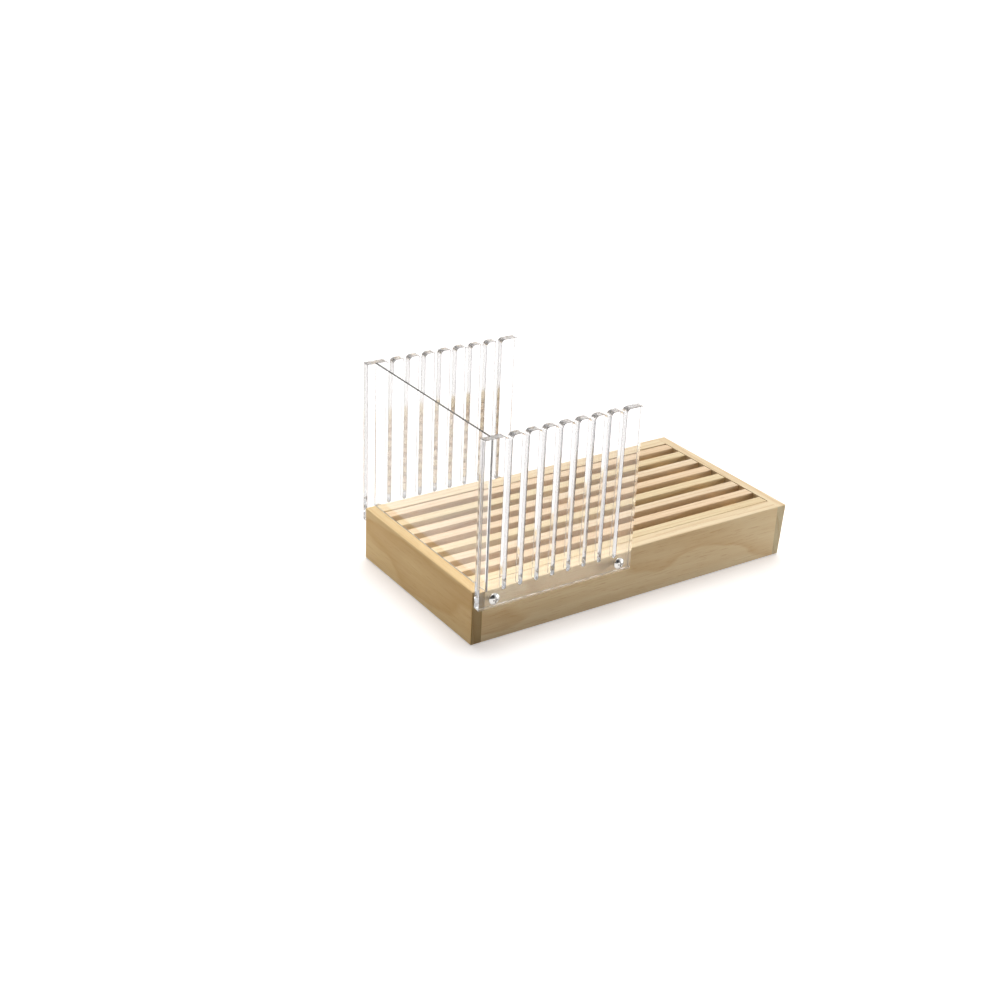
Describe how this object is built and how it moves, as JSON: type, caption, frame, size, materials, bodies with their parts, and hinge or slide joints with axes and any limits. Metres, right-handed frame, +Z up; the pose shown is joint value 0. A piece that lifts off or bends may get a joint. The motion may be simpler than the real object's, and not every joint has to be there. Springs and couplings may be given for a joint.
{
  "type": "bread slicer guide",
  "caption": "Wooden crumb box with a lift-out slatted rack and clear slotted guide panels that keep a knife upright, with a clear stop for the loaf.",
  "frame": {"origin": "on the table, under the middle of the whole object", "axes": "+X along the box from the loaf stop to the open end, +Y to the back, +Z up"},
  "size_m": [0.288, 0.1676, 0.1562],
  "materials": {
    "box_pine": "sanded, unvarnished pine",
    "slat_pine": "sanded, unvarnished pine",
    "plywood": "sanded birch plywood",
    "dowel_wood": "smooth beech",
    "clear_acrylic": "clear, polished",
    "screw_steel": "bright plated steel",
    "brad_steel": "bright steel wire"
  },
  "bodies": {
    "base": {"front_rail": "box_pine", "back_rail": "box_pine", "left_end_board": "box_pine", "right_end_board": "box_pine", "bottom_panel": "plywood", "corner_dowels": "dowel_wood", "front_ledge": "box_pine", "back_ledge": "box_pine", "ledge_brads": "brad_steel", "front_guide_panel": "clear_acrylic", "back_guide_panel": "clear_acrylic", "loaf_stop": "clear_acrylic", "front_screw_left": "screw_steel", "front_screw_right": "screw_steel", "back_screw_left": "screw_steel", "back_screw_right": "screw_steel"},
    "rack": {"slat_1": "slat_pine", "slat_2": "slat_pine", "slat_3": "slat_pine", "slat_4": "slat_pine", "slat_5": "slat_pine", "slat_6": "slat_pine", "slat_7": "slat_pine", "slat_8": "slat_pine", "rack_batten_left": "slat_pine", "rack_batten_middle": "slat_pine", "rack_batten_right": "slat_pine", "rack_brads": "brad_steel"}
  },
  "joints": [
    {"name": "rack_lift", "type": "slide", "parent": "base", "child": "rack", "axis": [0, 0, 1], "range_m": [0, 0.06]}
  ]
}
